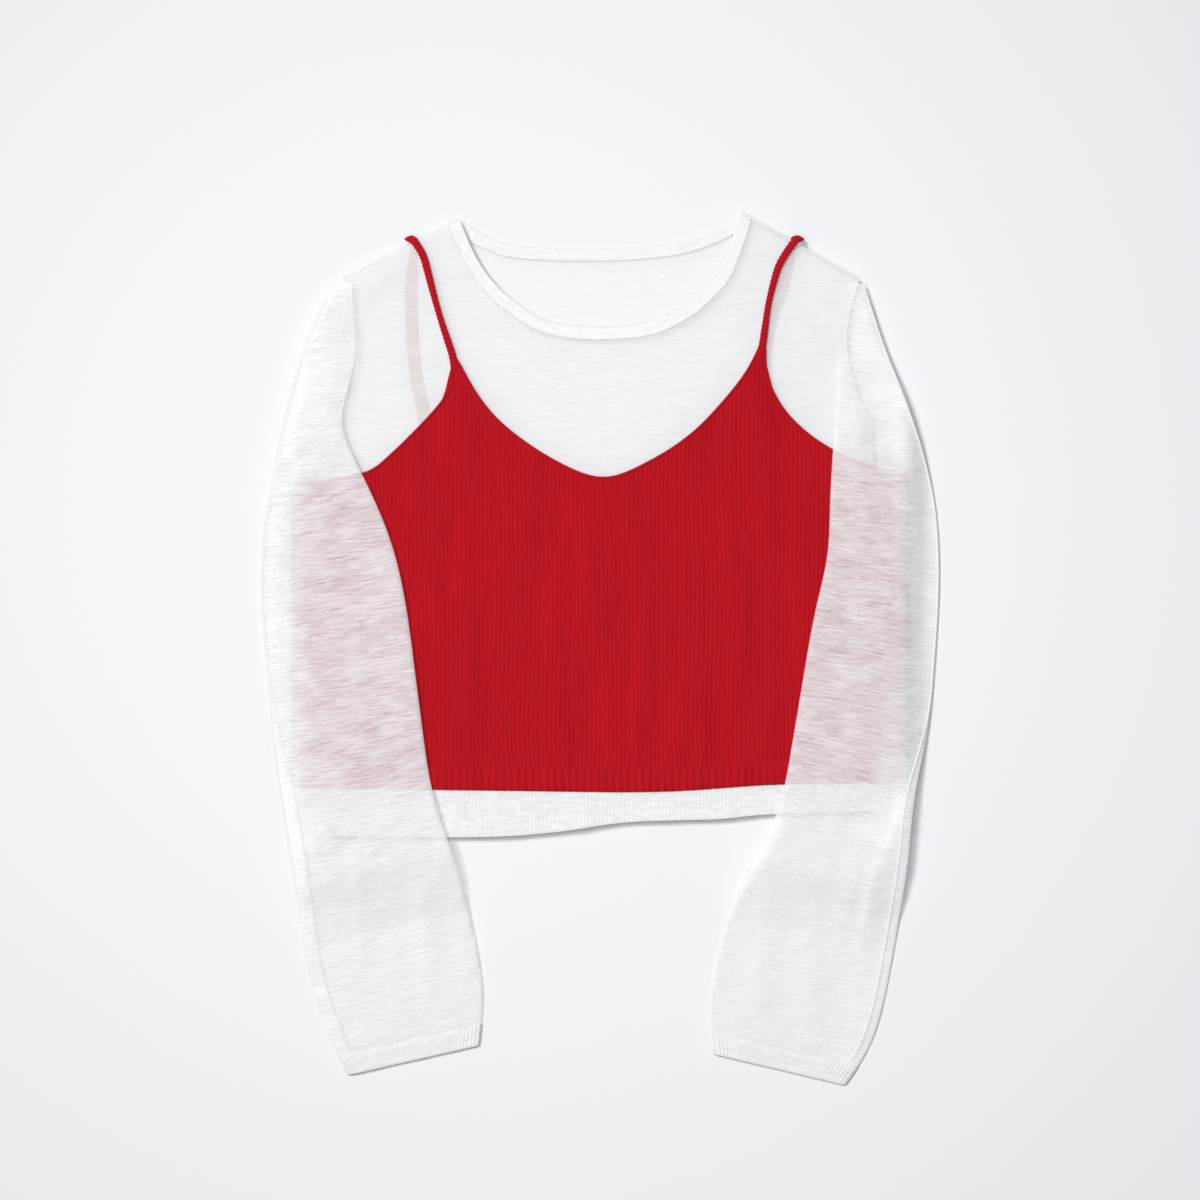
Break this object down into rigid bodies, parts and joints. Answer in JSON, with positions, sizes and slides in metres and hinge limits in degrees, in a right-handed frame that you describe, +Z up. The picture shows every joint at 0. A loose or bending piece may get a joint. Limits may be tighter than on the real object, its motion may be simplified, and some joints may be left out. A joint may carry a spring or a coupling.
{
  "type": "layered knit top set",
  "caption": "Sheer long-sleeved cropped knit top with a ribbed camisole worn over it, laid flat; sleeves swing at the shoulders.",
  "frame": {"origin": "on the table, under the middle of the whole set's outline", "axes": "+X the wearer's left, +Y towards the collar, +Z up from the table out of the set's front"},
  "size_m": [0.475, 0.6104, 0.0177],
  "materials": {
    "white_knit": "sheer fine knit, matt",
    "white_rib": "fine rib knit, matt",
    "red_rib_knit": "ribbed knit, matt",
    "red_edge": "smooth knitted edge, matt"
  },
  "bodies": {
    "top": {"top_front_panel": "white_knit", "top_back_panel": "white_knit", "top_front_neck_band": "white_rib", "top_back_neck_band": "white_rib", "top_front_hem_rib": "white_rib", "top_back_hem_rib": "white_rib", "top_left_shoulder_seam": "white_knit", "top_right_shoulder_seam": "white_knit", "top_left_side_seam": "white_knit", "top_right_side_seam": "white_knit", "top_left_armhole_seam": "white_knit", "top_right_armhole_seam": "white_knit"},
    "left_sleeve": {"left_sleeve_front": "white_knit", "left_sleeve_back": "white_knit", "left_sleeve_seam": "white_knit", "left_cuff_front": "white_rib", "left_cuff_back": "white_rib"},
    "right_sleeve": {"right_sleeve_front": "white_knit", "right_sleeve_back": "white_knit", "right_sleeve_seam": "white_knit", "right_cuff_front": "white_rib", "right_cuff_back": "white_rib"},
    "camisole": {"camisole_front_panel": "red_rib_knit", "camisole_back_panel": "red_rib_knit", "camisole_front_hem_rib": "red_rib_knit", "camisole_back_hem_rib": "red_rib_knit", "camisole_neck_binding": "red_edge", "camisole_back_binding": "red_edge", "camisole_left_armhole_binding": "red_edge", "camisole_right_armhole_binding": "red_edge", "camisole_left_side_seam": "red_rib_knit", "camisole_right_side_seam": "red_rib_knit", "camisole_left_strap": "red_edge", "camisole_right_strap": "red_edge"}
  },
  "joints": [
    {"name": "left_sleeve_swing", "type": "hinge", "parent": "top", "child": "left_sleeve", "pos_m": [0.1812, 0.257, 0.012], "axis": [0, 0, 1], "range_deg": [0, 35]},
    {"name": "right_sleeve_swing", "type": "hinge", "parent": "top", "child": "right_sleeve", "pos_m": [-0.1808, 0.257, 0.012], "axis": [0, 0, -1], "range_deg": [0, 35]},
    {"name": "camisole_slide", "type": "slide", "parent": "top", "child": "camisole", "axis": [0, 1, 0], "range_m": [0, 0.035]}
  ]
}
